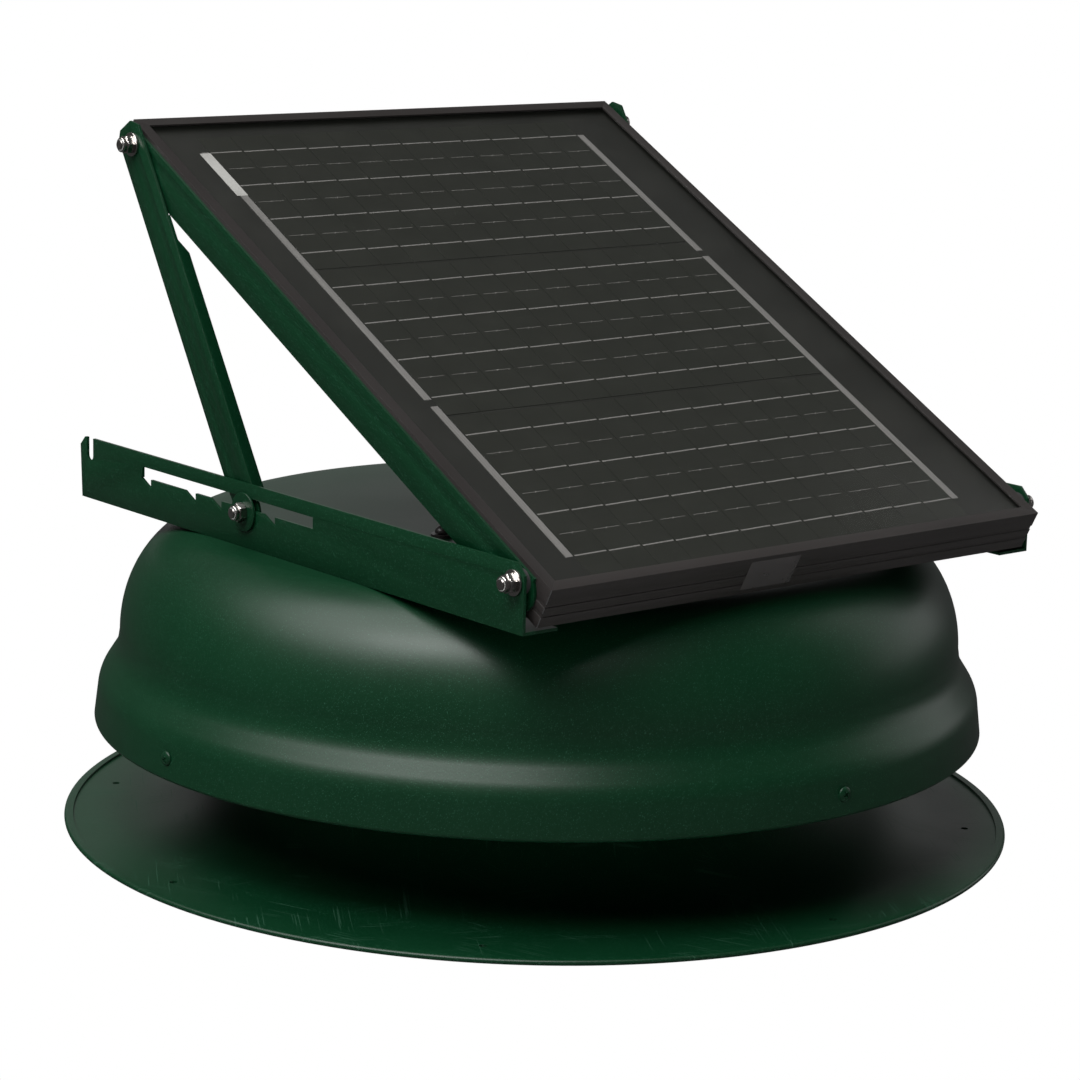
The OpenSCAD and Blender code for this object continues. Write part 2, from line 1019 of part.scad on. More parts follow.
// ---------------------------------------------------------------- struts
strut_front = 12.7;
strut_rear = 14.3;
strut_head = 15;
strut_flange_w = 8.7;
strut_flange_start = 86;
strut_tail = 12.7;

// Lip of the strut's flange, beside the bracket: narrow enough to pass it
strut_lip_w = strut_x - bracket_x - 0.3;
strut_lip_start = 58;
strut_lip_end = 76;

module strut() {
    color(paint)
        at_strut()
            difference() {
                union() {
                    slab_x(strut_x - strut_t, strut_x)
                        union() {
                            polygon([
                                [strut_head - 5, -strut_rear], [strut_head, -strut_rear + 5],
                                [strut_head, 5], [strut_head - 7, strut_front],
                                [-strut_len, strut_front], [-strut_len, -strut_tail],
                                [-strut_len + 20, -strut_rear]
                            ]);
                            translate([-strut_len, 0])
                                circle(r = strut_tail);
                        }
                    translate([strut_x, 0, strut_front - strut_t])
                        linear_extrude(strut_t)
                            polygon([
                                [0, -strut_lip_start], [-strut_lip_w, -strut_lip_start],
                                [-strut_lip_w, -strut_lip_end],
                                [-strut_flange_w, -strut_flange_start],
                                [-strut_flange_w, -strut_len + 4], [0, -strut_len + 4]
                            ]);
                }
                rod_x(strut_x - strut_t - 1, strut_x + 1, hole_r, 0, 0);
                rod_x(strut_x - strut_t - 1, strut_x + 1, stud_r, -strut_len, 0);
                rod_x(strut_x - strut_t - 1, strut_x - strut_t + stud_head_t, stud_head_r,
                    -strut_len, 0);
            }
}

foot_seat = rail_x + foot_gap;

// Clinched stud in the strut's foot; its neck is open where the rail's notched web passes
module foot_stud() {
    color(bright)
        at_strut()
            translate([0, -strut_len, 0]) {
                rod_x(strut_x - strut_t, strut_x - strut_t + stud_head_t, stud_head_r);
                rod_x(strut_x - strut_t, strut_x, stud_r);
                rod_x(foot_seat, foot_seat + washer_t + nut_h + stud_stands_out, stud_r);
            }
}

module foot_washer() {
    color(paint)
        at_strut()
            translate([0, -strut_len, 0])
                washer_x(foot_seat, fender_r, washer_t);
}

module foot_nut() {
    color(bright)
        at_strut()
            translate([0, -strut_len, 0])
                lock_nut(foot_seat + washer_t);
}

flashing();
hood();
hood_legs();
leg_rivets();
rim_screws();
bird_screen();
motor_plate();
motor_isolators();
dome_bolts();
dome_washers();
dome_nuts();
motor_can();
motor_end_cap();
motor_screws();
rail_left();
rail_right();
rail_bolts();
rail_nuts();
cable_gland();
rotor_shaft();
fan_hub();
fan_blade(0);  // fan_blade_1
fan_blade(1);  // fan_blade_2
fan_blade(2);  // fan_blade_3
fan_blade(3);  // fan_blade_4
fan_blade(4);  // fan_blade_5
hub_set_screw();
frame_front();
frame_back();
frame_left();
frame_right();
corner_keys();
glass();
solar_cells();
bus_ribbons();
backsheet();
junction_box();
junction_box_lid();
box_gland();
side_bracket_left();
side_bracket_right();
bracket_screws();
bracket_studs();
hinge_spacers();
pivot_spacers();
bracket_washers();
bracket_nuts();
mirror([1, 0, 0]) strut();  // strut_left
strut();  // strut_right
mirror([1, 0, 0]) foot_stud();  // foot_stud_left
foot_stud();  // foot_stud_right
mirror([1, 0, 0]) foot_washer();  // foot_washer_left
foot_washer();  // foot_washer_right
mirror([1, 0, 0]) foot_nut();  // foot_nut_left
foot_nut();  // foot_nut_right
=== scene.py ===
# %% [markdown]
# # A roof-top solar attic fan
# A spun metal flashing carries a domed hood. A motor and a five-bladed fan hang inside it, and a
# small solar panel tilts on two slotted rails. The frame holds every part at its real size and
# place, in metres. This script dresses that frame: it swaps coarse shapes for finely made ones,
# eases the sheet edges, and gives each part the finish of its real material.

# %% Load the frame
import json
import math

import bmesh
import bpy
from mathutils import Matrix, Vector


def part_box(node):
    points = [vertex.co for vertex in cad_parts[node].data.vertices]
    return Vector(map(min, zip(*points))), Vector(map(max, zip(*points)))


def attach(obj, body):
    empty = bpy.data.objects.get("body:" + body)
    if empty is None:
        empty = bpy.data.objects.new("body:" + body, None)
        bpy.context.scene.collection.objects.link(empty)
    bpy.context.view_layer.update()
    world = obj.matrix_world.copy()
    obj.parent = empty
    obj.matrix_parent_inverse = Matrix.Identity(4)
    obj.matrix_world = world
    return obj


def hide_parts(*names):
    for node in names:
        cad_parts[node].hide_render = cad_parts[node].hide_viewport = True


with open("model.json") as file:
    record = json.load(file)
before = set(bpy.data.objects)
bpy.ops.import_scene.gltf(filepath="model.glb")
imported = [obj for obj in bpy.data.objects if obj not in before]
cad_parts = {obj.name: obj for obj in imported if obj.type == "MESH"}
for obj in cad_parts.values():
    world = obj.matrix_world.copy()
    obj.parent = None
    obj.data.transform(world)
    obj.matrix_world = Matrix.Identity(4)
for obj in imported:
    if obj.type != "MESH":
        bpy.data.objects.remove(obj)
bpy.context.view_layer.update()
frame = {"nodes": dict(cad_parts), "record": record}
nodes = frame["nodes"]
record = frame["record"]
body_of = {n: body for body, members in record["behaviour"]["bodies"].items() for n in members}
slot_of = {row["node"]: row["material_slot"] for row in record["subparts"]}
joint_of = {joint["name"]: joint for joint in record["behaviour"]["joints"]}
MM = 0.001

# %% [markdown]
# ## Where the linkage is
# The panel turns on a hinge at its low end and its struts hang from a pivot near its high end.
# The two joints give both points, so the slope of the panel follows from them, and nothing that
# sits on the panel needs a guessed angle.

# %% Hinge, pivot, foot and slope
hinge = Vector(joint_of["panel_tilt"]["pos_m"])
pivot = Vector(joint_of["strut_right_fold"]["pos_m"])
slope_angle = math.atan2(pivot.z - hinge.z, pivot.y - hinge.y)
slope = Matrix.Translation((0, hinge.y, hinge.z)) @ Matrix.Rotation(slope_angle, 4, "X")


def middle(node):
    low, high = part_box(node)
    return (low + high) / 2


foot = middle("foot_washer_right")
print("slope", round(math.degrees(slope_angle), 2), "foot", foot)

# %% [markdown]
# ## Camera
# A long lens from low on the left, a little under two metres and a half away. The lens is long,
# so the near and far corners of the panel look almost the same size. The small roll is that of a
# camera held by hand.

# %% Camera
FOCAL_MM = 106.9
SENSOR_MM = 36
CAMERA_AT = Vector((-1.3470, -1.6415, 0.6442))
CAMERA_AZIMUTH = math.radians(-39.03)
CAMERA_DROP = math.radians(11.99)
CAMERA_ROLL = math.radians(1.324)

back = Vector((
    math.sin(CAMERA_AZIMUTH) * math.cos(CAMERA_DROP),
    -math.cos(CAMERA_AZIMUTH) * math.cos(CAMERA_DROP),
    math.sin(CAMERA_DROP),
))
level = Vector((0, 0, 1)).cross(back).normalized()
upright = back.cross(level)
right = level * math.cos(CAMERA_ROLL) + upright * math.sin(CAMERA_ROLL)
up = upright * math.cos(CAMERA_ROLL) - level * math.sin(CAMERA_ROLL)

lens = bpy.data.cameras.new("camera")
lens.lens = FOCAL_MM
lens.sensor_width = SENSOR_MM
lens.shift_x = 0.0162
lens.shift_y = -0.0059
camera = bpy.data.objects.new("camera", lens)
camera.matrix_world = Matrix.Translation(CAMERA_AT) @ Matrix((right, up, back)).transposed().to_4x4()
bpy.context.scene.collection.objects.link(camera)
bpy.context.scene.camera = camera
print("camera at", CAMERA_AT)

# %% [markdown]
# ## Shader maths that reads like maths
# A finish is a graph of nodes. Wrapping a socket in a small class lets the graph be written as
# sums and products, and one method adds every other kind of node, so a finish reads as a recipe.


# %% Signal: a socket with arithmetic
class Signal:
    """One output inside a finish. Arithmetic on it adds Math nodes to the same finish."""

    def __init__(self, finish, socket):
        self.finish = finish
        self.socket = socket

    def maths(self, operation, first, second):
        return self.finish.node("ShaderNodeMath", {"operation": operation}, {0: first, 1: second})

    def __add__(self, other):
        return self.maths("ADD", self, other)

    def __sub__(self, other):
        return self.maths("SUBTRACT", self, other)

    def __rsub__(self, other):
        return self.maths("SUBTRACT", other, self)

    def __mul__(self, other):
        return self.maths("MULTIPLY", self, other)

    __radd__ = __add__
    __rmul__ = __mul__


# %% Finish: a material under construction
class Finish:
    """A material, its Principled shader and the one way to add a node to it."""

    def __init__(self, name, uniform):
        self.material = bpy.data.materials.new(name)
        self.material.use_nodes = True
        self.tree = self.material.node_tree
        self.shader = self.tree.nodes["Principled BSDF"]
        self.wear(uniform)

    def feed(self, socket, value):
        if isinstance(value, Signal):
            self.tree.links.new(value.socket, socket)
        else:
            socket.default_value = value

    def node(self, kind, settings, inputs, output=0):
        made = self.tree.nodes.new(kind)
        for name, value in settings.items():
            if name == "stops":
                while len(made.color_ramp.elements) < len(value):
                    made.color_ramp.elements.new(1)
                for element, (position, shade) in zip(made.color_ramp.elements, value):
                    element.position = position
                    element.color = (shade, shade, shade, 1)
            else:
                setattr(made, name, value)
        for key, value in inputs.items():
            self.feed(made.inputs[key], value)
        return Signal(self, made.outputs[output])

    def wear(self, sockets):
        """Sets the shader's own sockets, by name."""
        for name, value in sockets.items():
            self.feed(self.shader.inputs[name], value)
        return self

    def place(self, stretch=(1, 1, 1), turn=(0, 0, 0)):
        """The part's own coordinates, turned first and then stretched."""
        own = self.node("ShaderNodeTexCoord", {}, {}, "Object")
        turned = self.node("ShaderNodeVectorRotate", {"rotation_type": "EULER_XYZ"},
                           {"Vector": own, "Rotation": turn})
        return self.node("ShaderNodeVectorMath", {"operation": "MULTIPLY"}, {0: turned, 1: stretch})

    def cloud(self, where, scale, detail=2.0):
        """Smooth noise; scale is in features per metre."""
        return self.node("ShaderNodeTexNoise", {}, {"Vector": where, "Scale": scale, "Detail": detail}, "Fac")

    def ramp(self, value, *stops):
        return self.node("ShaderNodeValToRGB", {"stops": stops}, {"Fac": value})

    def tint(self, factor, first, second):
        """A colour between two others."""
        mix = self.tree.nodes.new("ShaderNodeMix")
        mix.data_type = "RGBA"
        self.feed(mix.inputs[0], factor)
        self.feed(mix.inputs[6], first)
        self.feed(mix.inputs[7], second)
        return Signal(self, mix.outputs[2])

    def relief(self, height, depth, strength=1.0):
        """A bump from a height between 0 and 1, depth metres deep."""
        return self.node("ShaderNodeBump", {}, {"Height": height, "Distance": depth, "Strength": strength})


def rgb(red, green, blue):
    """A linear colour from the everyday 0 to 255 values."""
    return tuple((v / 255 / 12.92) if v < 10.3 else ((v / 255 + 0.055) / 1.055) ** 2.4
                 for v in (red, green, blue)) + (1,)


print("finish tools ready")

# %% [markdown]
# ## Powder coat
# The metalwork is coated in a satin dark green powder. Melted powder never lies quite flat: it has
# a faint orange peel about a millimetre across and a slightly uneven gloss. Tiny pale specks are
# painted into its colour as glints off its grain. The flashing is handled more than the rest, so
# its coat is scuffed with fine scratches as well.

# %% Powder coat
COAT = rgb(2, 38, 19)
COAT_DEEP = rgb(1, 32, 15)
# The pale green of the painted glints in the coat.
COAT_GLINT = rgb(36, 74, 56)
COAT_SCUFF = rgb(54, 92, 74)


def scratches(finish, turn, run, width):
    """Thin straight marks: noise drawn out along one direction, kept only where it peaks."""
    lines = finish.cloud(finish.place((run, width, run), turn), 1.0, 0.0)
    patches = finish.cloud(finish.place(turn=turn), 24.0, 1.0)
    return finish.ramp(lines, (0.70, 0), (0.74, 1)) * finish.ramp(patches, (0.54, 0), (0.62, 1))


def powder_coat(name, scuffed):
    finish = Finish(name, {"IOR": 1.48, "Specular IOR Level": 0.25})
    where = finish.place()
    mottle = finish.cloud(where, 11.0, 3.0)
    peel = finish.cloud(where, 750.0, 1.0)
    # Painted glints: tiny pale specks mixed into the coat's colour.
    glint_specks = finish.ramp(finish.cloud(where, 1500.0, 0.0), (0.70, 0), (0.76, 1))
    base = finish.tint(mottle, COAT_DEEP, COAT)
    base = finish.tint(glint_specks * 0.55, base, COAT_GLINT)
    gloss = 0.30 + mottle * 0.10 + peel * 0.05
    if scuffed:
        marks = (scratches(finish, (0, 0, 0.5), 9.0, 900.0) + scratches(finish, (0, 0, 2.1), 11.0, 800.0)
                 + scratches(finish, (0, 0, 1.2), 14.0, 1000.0))
        base = finish.tint(marks * 0.22, base, COAT_SCUFF)
        gloss = gloss + marks * 0.12
    height = peel * 0.7 + finish.cloud(where, 16.0, 1.0) * 6.0
    return finish.wear({"Base Color": base, "Roughness": gloss,
                        "Normal": finish.relief(height, 0.05 * MM, 0.6)})


green_coat = powder_coat("green_powder_coat", False)
scuffed_coat = powder_coat("green_powder_coat_scuffed", True)
print("powder coats:", green_coat.material.name, scuffed_coat.material.name)

# %% [markdown]
# ## Bare metals
# Sheet steel inside the hood is zinc plated and shows soft crystal patches. The fan and the motor's
# cap are mill-finish aluminium, streaked by the rolls. The nuts, washers and studs are polished
# stainless steel, with fine turning marks that only blur the reflections a little.


# %% Bare metals
def plated_steel(name):
    finish = Finish(name, {"Metallic": 1.0})
    where = finish.place()
    spangle = finish.node("ShaderNodeTexVoronoi", {}, {"Vector": where, "Scale": 130.0}, "Color")
    flat = finish.node("ShaderNodeRGBToBW", {}, {"Color": spangle})
    grime = finish.cloud(where, 30.0, 4.0)
    base = finish.tint(flat, rgb(150, 151, 149), rgb(186, 187, 186))
    base = finish.tint(finish.ramp(grime, (0.5, 0), (0.75, 1)) * 0.5, base, rgb(110, 108, 104))
    return finish.wear({"Base Color": base, "Roughness": 0.32 + grime * 0.22,
                        "Normal": finish.relief(grime, 0.08 * MM, 0.4)})


def rolled_aluminium(name):
    finish = Finish(name, {"Metallic": 1.0})
    streaks = finish.cloud(finish.place((6, 900, 900)), 1.0, 2.0)
    haze = finish.cloud(finish.place(), 22.0, 3.0)
    base = finish.tint(streaks, rgb(196, 197, 199), rgb(222, 222, 223))
    return finish.wear({"Base Color": base, "Roughness": 0.26 + haze * 0.2,
                        "Normal": finish.relief(streaks, 0.02 * MM, 0.5)})


def stainless_steel(name):
    finish = Finish(name, {"Metallic": 1.0})
    marks = finish.cloud(finish.place((40, 1500, 1500)), 1.0, 1.0)
    haze = finish.cloud(finish.place(), 300.0, 2.0)
    base = finish.tint(haze, rgb(146, 142, 140), rgb(188, 184, 181))
    return finish.wear({"Base Color": base, "Roughness": 0.17 + haze * 0.14,
                        "Normal": finish.relief(marks, 0.01 * MM, 0.5)})


zinc = plated_steel("zinc_plated_steel")
aluminium = rolled_aluminium("rolled_aluminium")
stainless = stainless_steel("polished_stainless")
print("metals ready")

# %% [markdown]
# ## Dark coatings, rubber and plastic
# Four blacks that must not look alike: black oxide on the dome bolts, enamel on the motor, matt
# rubber in the mounts and inlets, and moulded plastic with a fine spark texture. They differ in
# gloss and in how coarse their grain is, so one recipe takes both as arguments.


# %% Dark coatings
def dark_finish(name, shade, worn, gloss, grain, depth):
    finish = Finish(name, {"IOR": 1.5})
    where = finish.place()
    fine = finish.cloud(where, grain, 2.0)
    broad = finish.cloud(where, 25.0, 4.0)
    base = finish.tint(finish.ramp(broad, (0.45, 0), (0.8, 1)), shade, worn)
    return finish.wear({"Base Color": base, "Roughness": gloss + broad * 0.14,
                        "Normal": finish.relief(fine, depth, 0.7)})


black_steel = dark_finish("black_oxide", rgb(33, 30, 30), rgb(66, 62, 60), 0.28, 700.0, 0.03 * MM)
enamel = dark_finish("motor_enamel", rgb(30, 31, 32), rgb(48, 49, 50), 0.22, 400.0, 0.03 * MM)
rubber = dark_finish("black_rubber", rgb(24, 24, 25), rgb(52, 52, 52), 0.62, 1200.0, 0.05 * MM)
plastic = dark_finish("moulded_plastic", rgb(22, 22, 23), rgb(36, 36, 37), 0.42, 1600.0, 0.04 * MM)
insert_nylon = dark_finish("nylon_insert", rgb(170, 172, 170), rgb(150, 150, 146), 0.45, 600.0, 0.02 * MM)
print("dark finishes ready")

# %% [markdown]
# ## Anodised frame
# The panel's frame is extruded aluminium, anodised black. The die leaves very fine lines along each
# bar, so the pattern is drawn out along the bar: across the hinge for two bars, and up the slope
# for the other two. Turning the coordinates by the slope's angle lines it up.


# %% Anodised frame
def anodised(name, stretch):
    finish = Finish(name, {"IOR": 1.6, "Specular IOR Level": 0.3})
    where = finish.place(stretch, (-slope_angle, 0, 0))
    lines = finish.cloud(where, 1.0, 1.0)
    bloom = finish.cloud(finish.place(), 14.0, 4.0)
    base = finish.tint(bloom, rgb(24, 22, 21), rgb(34, 31, 30))
    base = finish.tint(lines * 0.35, base, rgb(46, 43, 42))
    return finish.wear({"Base Color": base, "Roughness": 0.34 + bloom * 0.12,
                        "Normal": finish.relief(lines, 0.02 * MM, 0.6)})


anodised_across = anodised("black_anodising_across", (5, 1800, 1800))
anodised_along = anodised("black_anodising_along", (1800, 5, 1800))
print("anodising ready")

# %% [markdown]
# ## Cells, glass and sticker
# Under the glass lie near-black silicon cells with hair-thin printed fingers, tinned ribbons that
# carry the current, and a black backsheet. The glass is a plain see-through shell with the faint
# stipple of solar glass, which breaks up reflections. Stickers are left blank.


# %% Cells and ribbons
def silicon(name):
    finish = Finish(name, {"IOR": 1.6})
    where = finish.place((1, 1, 1), (-slope_angle, 0, 0))
    bloom = finish.cloud(where, 40.0, 5.0)
    grain = finish.cloud(finish.place((1, 30, 1), (-slope_angle, 0, 0)), 60.0, 2.0)
    fingers = finish.node("ShaderNodeTexWave", {"bands_direction": "Y"},
                          {"Vector": where, "Scale": 250.0, "Distortion": 0.0}, "Fac")
    base = finish.tint(bloom, rgb(25, 26, 22), rgb(34, 35, 30))
    base = finish.tint(finish.ramp(fingers, (0.86, 0), (0.96, 1)) * 0.25, base, rgb(60, 62, 60))
    base = finish.tint(finish.ramp(grain, (0.6, 0), (0.75, 1)) * 0.18, base, rgb(70, 72, 68))
    return finish.wear({"Base Color": base, "Roughness": 0.34 + bloom * 0.1,
                        "Normal": finish.relief(bloom, 0.01 * MM, 0.4)})


def tinned(name):
    finish = Finish(name, {"Metallic": 0.2})
    where = finish.place((1500, 8, 1500), (-slope_angle, 0, 0))
    streaks = finish.cloud(where, 1.0, 2.0)
    haze = finish.cloud(finish.place(), 120.0, 3.0)
    base = finish.tint(streaks, rgb(104, 102, 100), rgb(156, 154, 151))
    return finish.wear({"Base Color": base, "Roughness": 0.36 + haze * 0.2,
                        "Normal": finish.relief(streaks, 0.02 * MM, 0.5)})


cell_silicon = silicon("cell_silicon")
ribbon_tin = tinned("tinned_ribbon")
backing = dark_finish("backsheet_film", rgb(27, 27, 25), rgb(35, 35, 32), 0.42, 500.0, 0.03 * MM)

# %% Glass and stickers
solar_glass = Finish("stippled_glass", {"Base Color": rgb(30, 32, 28), "Alpha": 0.16, "IOR": 1.45,
                                        "Specular IOR Level": 0.35})
stipple = solar_glass.cloud(solar_glass.place(), 420.0, 1.0)
solar_glass.wear({"Roughness": 0.2 + stipple * 0.1, "Normal": solar_glass.relief(stipple, 0.02 * MM, 0.5)})
sticker_paper = dark_finish("blank_paper", rgb(188, 187, 183), rgb(160, 159, 155), 0.5, 900.0, 0.02 * MM)
sticker_film = dark_finish("blank_film", rgb(44, 42, 42), rgb(54, 51, 51), 0.2, 500.0, 0.01 * MM)
print("panel finishes ready")

# %% [markdown]
# ## Dress every part of the frame
# Each part already names the material that it is made of, so one table of finishes dresses them
# all. Parts that are made again further down take their finish from the same table.

# %% Finish for each material
finish_of = {
    "green_paint": green_coat,
    "zinc_steel": zinc,
    "black_rubber": rubber,
    "black_plastic": plastic,
    "black_steel": black_steel,
    "motor_paint": enamel,
    "bare_aluminium": aluminium,
    "black_frame": anodised_across,
    "solar_glass": solar_glass,
    "solar_cell": cell_silicon,
    "tinned_ribbon": ribbon_tin,
    "backsheet": backing,
    "stainless": stainless,
}
for name, part in nodes.items():
    part.data.materials.clear()
    part.data.materials.append(finish_of[slot_of[name]].material)
print("dressed", len(nodes), "parts")

# %% [markdown]
# ## Three ways to make a shape
# Turned parts, such as the hood, a nut's collar or a washer, come from an outline swept round an
# axis. Folded sheet parts are the frame's own shapes with their edges eased, because a real folded
# edge is never knife sharp and catches a thin line of light. The rest are prisms. Each maker
# returns a bmesh, and one function turns that into a piece that rides on its body.


# %% Arcs and turned shapes
def arc(centre, radius, start, end, steps):
    """Points on a circle, or on an ellipse if radius is a pair; angles in degrees."""
    across, tall = radius if isinstance(radius, tuple) else (radius, radius)
    angles = [math.radians(start + (end - start) * i / steps) for i in range(steps + 1)]
    return [(centre[0] + across * math.cos(a), centre[1] + tall * math.sin(a)) for a in angles]


def turned(outline, steps=96):
    """A closed outline of (radius, height) points, swept round Z."""
    bm = bmesh.new()
    rings = []
    for i in range(steps):
        angle = 2 * math.pi * i / steps
        rings.append([bm.verts.new((r * math.cos(angle), r * math.sin(angle), z)) for r, z in outline])
    for i in range(steps):
        here, there = rings[i], rings[(i + 1) % steps]
        for k in range(len(outline)):
            n = (k + 1) % len(outline)
            if outline[k][0] > 1e-7 or outline[n][0] > 1e-7:
                bm.faces.new((here[k], there[k], there[n], here[n]))
    bmesh.ops.remove_doubles(bm, verts=bm.verts, dist=1e-7)
    bmesh.ops.dissolve_degenerate(bm, edges=bm.edges, dist=1e-8)
    return bm


# %% Pieces
def add_piece(name, bm, finishes, body, stands_for=(), crease=32):
    """Makes a piece from a bmesh: smooth faces, with sharp edges where faces meet at a crease."""
    bmesh.ops.recalc_face_normals(bm, faces=bm.faces)
    for face in bm.faces:
        face.smooth = True
    for edge in bm.edges:
        edge.smooth = len(edge.link_faces) == 2 and edge.calc_face_angle(0) < math.radians(crease)
    mesh = bpy.data.meshes.new(name)
    bm.to_mesh(mesh)
    bm.free()
    for finish in finishes:
        mesh.materials.append(finish.material)
    piece = bpy.data.objects.new(name, mesh)
    bpy.context.scene.collection.objects.link(piece)
    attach(piece, body)
    if stands_for:
        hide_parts(*stands_for)
    return piece


def remake(name, node, bm, finishes=None, crease=32):
    """A piece that stands for one part of the frame."""
    slot = slot_of[node]
    return add_piece(name, bm, finishes or [finish_of[slot]], body_of[node], [node], crease)


# %% Eased edges
def shape_of(node):
    bm = bmesh.new()
    bm.from_mesh(nodes[node].data)
    bmesh.ops.remove_doubles(bm, verts=bm.verts, dist=2e-6)
    bmesh.ops.dissolve_limit(bm, angle_limit=math.radians(0.4), verts=bm.verts, edges=bm.edges)
    return bm


def ease(bm, edges, width, material=-1):
    bmesh.ops.bevel(bm, geom=edges, offset=width, offset_type="OFFSET", segments=2, profile=0.5,
                    affect="EDGES", clamp_overlap=True, material=material)


def corners(bm, angle=35):
    return [e for e in bm.edges if len(e.link_faces) == 2 and e.calc_face_angle(0) > math.radians(angle)]


def eased(node, width, finishes=None):
    bm = shape_of(node)
    ease(bm, corners(bm), width)
    return remake(node + "_eased", node, bm, finishes)


print("shape tools ready")

# %% [markdown]
# ## Flashing
# One disc of sheet spun over a former: a flat flange that is screwed to the roof, a wide cove and
# an upright throat. Its outer edge is folded over into a hem. The profile is swept round the axis,
# and the screw holes are cut afterwards, because a hole in a swept profile would be a groove.

# %% Flashing
SHEET = 2 * MM
flange_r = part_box("flashing")[1].x
collar_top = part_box("flashing")[1].z
screen_low, screen_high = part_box("bird_screen")
throat_r = screen_high.x - SHEET
COVE_R = 90 * MM
HEM_W = 6 * MM
HEM_H = 3.6 * MM
SCREW_CIRCLE_R = 294 * MM
SCREW_HOLE_R = 2.5 * MM
SCREWS = 8

cove = (throat_r + SHEET + COVE_R, SHEET + COVE_R)
flashing_outline = (
    [(throat_r, collar_top - 0.4 * MM), (throat_r, cove[1])]
    + arc(cove, COVE_R + SHEET, 180, 270, 40)[1:]
    + [(flange_r - HEM_W, 0)]
    + arc((flange_r - HEM_H / 2, HEM_H / 2), HEM_H / 2, -90, 90, 10)
    + [(flange_r - HEM_W, HEM_H), (flange_r - HEM_W - 0.3 * MM, SHEET)]
    + arc(cove, COVE_R, 270, 180, 40)
    + [(throat_r + SHEET, collar_top - 0.4 * MM), (throat_r + SHEET / 2, collar_top)]
)
flashing = remake("spun_flashing", "flashing", turned(flashing_outline, 240), [scuffed_coat])

# %% Cut the screw holes
def cut(piece, tool):
    """Cuts one mesh out of another and keeps the result as the piece's own mesh."""
    tool_mesh = bpy.data.meshes.new("cutter")
    tool.to_mesh(tool_mesh)
    tool.free()
    cutter = bpy.data.objects.new("cutter", tool_mesh)
    bpy.context.scene.collection.objects.link(cutter)
    step = piece.modifiers.new("cut", "BOOLEAN")
    step.object = cutter
    step.operation = "DIFFERENCE"
    step.solver = "EXACT"
    bpy.context.view_layer.update()
    result = bpy.data.meshes.new_from_object(piece.evaluated_get(bpy.context.evaluated_depsgraph_get()))
    piece.modifiers.clear()
    piece.data = result
    bpy.data.objects.remove(cutter)


punch = bmesh.new()
for i in range(SCREWS):
    angle = 2 * math.pi * i / SCREWS
    at = Matrix.Translation((SCREW_CIRCLE_R * math.cos(angle), SCREW_CIRCLE_R * math.sin(angle), 0))
    bmesh.ops.create_cone(punch, cap_ends=True, segments=24, radius1=SCREW_HOLE_R, radius2=SCREW_HOLE_R,
                          depth=12 * MM, matrix=at)
cut(flashing, punch)
print("flashing:", len(flashing.data.polygons), "faces")

# %% [markdown]
# ## Hood
# The hood is spun too: a leaning skirt with a rolled rim, an S-shaped step, and a flat dome with
# an elliptical shoulder. The outline is worked out once for the outer face, then again a sheet's
# thickness inside it, so that the wall is even.

# %% Hood
hood_low, hood_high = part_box("hood")
rim_r, rim_z, dome_z = hood_high.x, hood_low.z, hood_high.z
SKIRT_LEAN = 6.3
STEP_LEAN = 33
STEP_R = 28 * MM
STEP_DROP = 5.2 * MM
SKIRT_TOP = 92 * MM
DOME_FLAT_R = 226 * MM
DOME_FOOT = (rim_r - 17.1 * MM, 129 * MM)
RIM_BEAD_R = 2.6 * MM


def skirt_r(z):
    return rim_r - (z - rim_z) * math.tan(math.radians(SKIRT_LEAN))


def heading(degrees, length):
    return Vector((math.cos(math.radians(degrees)), math.sin(math.radians(degrees)))) * length


def hood_face(inset):
    """The hood's outline from rim to dome, inset from its outer face."""
    lower = Vector((skirt_r(SKIRT_TOP), SKIRT_TOP)) - heading(SKIRT_LEAN, STEP_R)
    fold = lower + heading(STEP_LEAN, STEP_R)
    bend = fold + Vector((-STEP_DROP, STEP_DROP / math.tan(math.radians(STEP_LEAN))))
    upper = bend + heading(STEP_LEAN, STEP_R)
    shoulder = (DOME_FOOT[0] - DOME_FLAT_R - inset, dome_z - DOME_FOOT[1] - inset)
    return (
        arc(lower, STEP_R - inset, SKIRT_LEAN, STEP_LEAN, 12)
        + arc(upper, STEP_R + inset, 180 + STEP_LEAN, 185, 12)
        + arc((DOME_FLAT_R, DOME_FOOT[1]), shoulder, 0, 90, 40)
    )


bead = (skirt_r(rim_z) - RIM_BEAD_R, rim_z + RIM_BEAD_R)
rings = [DOME_FLAT_R * k / 6 for k in range(6)]
hood_outline = (
    arc(bead, RIM_BEAD_R, 150, 360, 18)
    + hood_face(0)
    + [(r, dome_z) for r in reversed(rings)]
    + [(r, dome_z - SHEET) for r in rings]
    + list(reversed(hood_face(SHEET)))
)
hood = remake("spun_hood", "hood", turned(hood_outline, 240))
print("hood:", len(hood.data.polygons), "faces")

# %% [markdown]
# ## Bird screen
# A band of welded wire stands between the throat and the dome and keeps birds out. It is made as
# real wire: upright rods and hoops, close enough that no gap is wider than a fingertip.

# %% Bird screen
WIRE_R = 0.55 * MM
UPRIGHTS = 132
HOOPS = 11
screen_r = screen_high.x - 0.8 * MM


def rod(radius, low, high, sides=8):
    return turned([(0, low), (radius, low), (radius, high), (0, high)], sides)


def join(target, source, matrix=None):
    """Adds a bmesh to another, moved by a matrix."""
    mesh = bpy.data.meshes.new("part")
    if matrix is not None:
        source.transform(matrix)
    source.to_mesh(mesh)
    source.free()
    target.from_mesh(mesh)
    bpy.data.meshes.remove(mesh)


